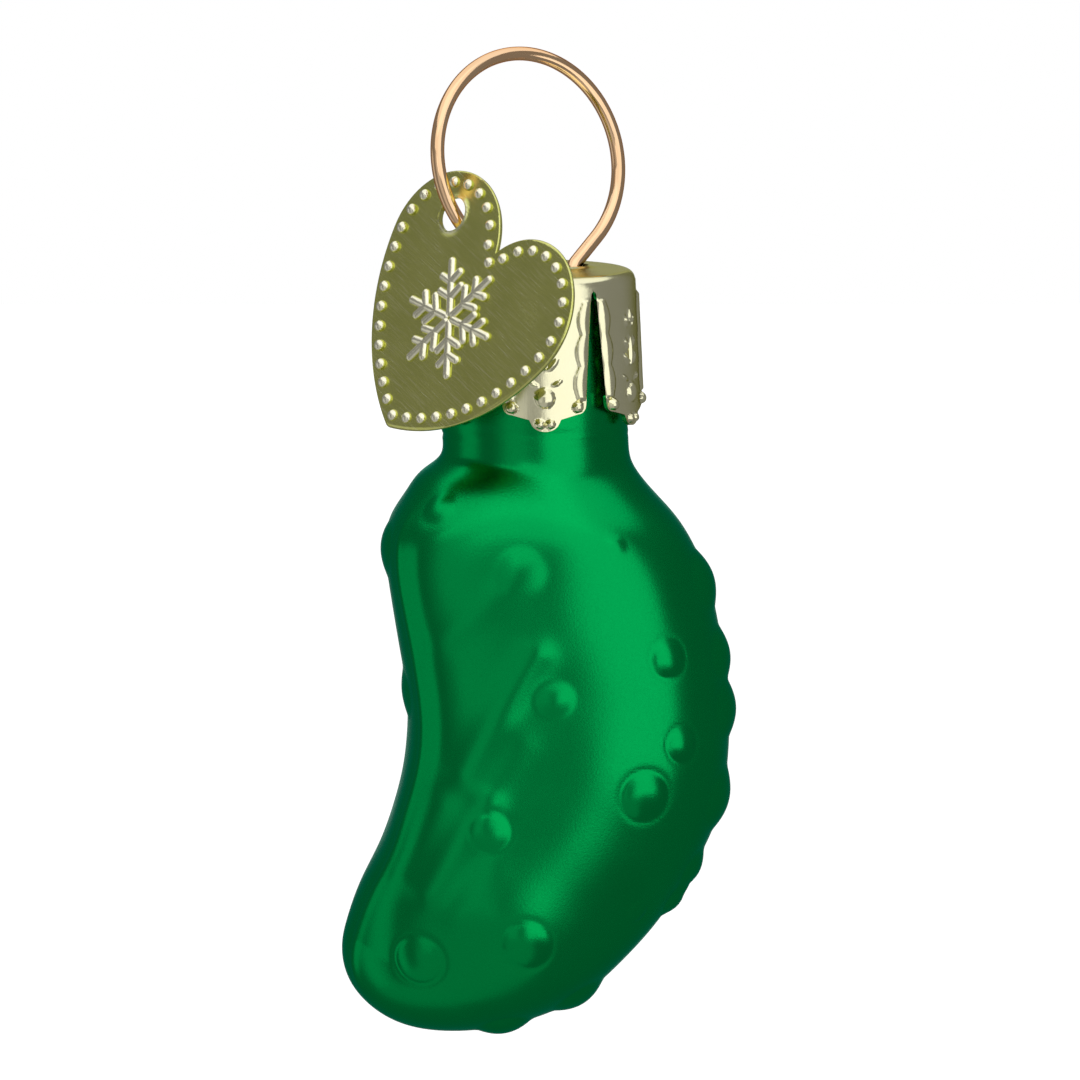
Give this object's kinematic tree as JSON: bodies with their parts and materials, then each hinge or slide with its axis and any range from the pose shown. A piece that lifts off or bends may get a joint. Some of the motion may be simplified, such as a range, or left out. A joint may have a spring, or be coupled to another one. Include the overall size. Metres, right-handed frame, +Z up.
{
  "type": "pickle ornament",
  "caption": "Hollow blown-glass pickle that hangs by a wire loop sprung into its neck through a stamped lobed cap, with a heart tag on the loop.",
  "frame": {"origin": "inside top of the wire loop, where a hook carries the ornament", "axes": "+Z up along the neck, +X to the pickle's bulging side, -Y towards the viewer"},
  "size_m": [0.0237, 0.0206, 0.0593],
  "materials": {
    "silvered_green_glass": "clear glass silvered inside, with a satin green lacquer outside",
    "cap_brass": "thin stamped sheet, bright gold plating, embossed",
    "wire_brass": "bright drawn wire, gold plated",
    "tag_brass": "thin stamped sheet, bright gold plating, fine brushed lines"
  },
  "bodies": {
    "hanger": {"hanger_wire": "wire_brass"},
    "cap": {"crown_cap": "cap_brass"},
    "glass": {"glass_body": "silvered_green_glass"},
    "tag": {"heart_tag": "tag_brass"}
  },
  "joints": [
    {"name": "loop_rock", "type": "hinge", "parent": "hanger", "child": "cap", "pos_m": [0.00118, -0.00267, -0.01241], "axis": [0.831, 0.5563, 0], "range_deg": [-6, 6]},
    {"name": "cap_pull_off", "type": "slide", "parent": "cap", "child": "glass", "axis": [0, 0, -1], "range_m": [0, 0.015]},
    {"name": "tag_swing", "type": "hinge", "parent": "hanger", "child": "tag", "pos_m": [-0.00359, -0.00489, -0.0088], "axis": [-0.6909, 0.723, 0], "range_deg": [0, 70]}
  ]
}
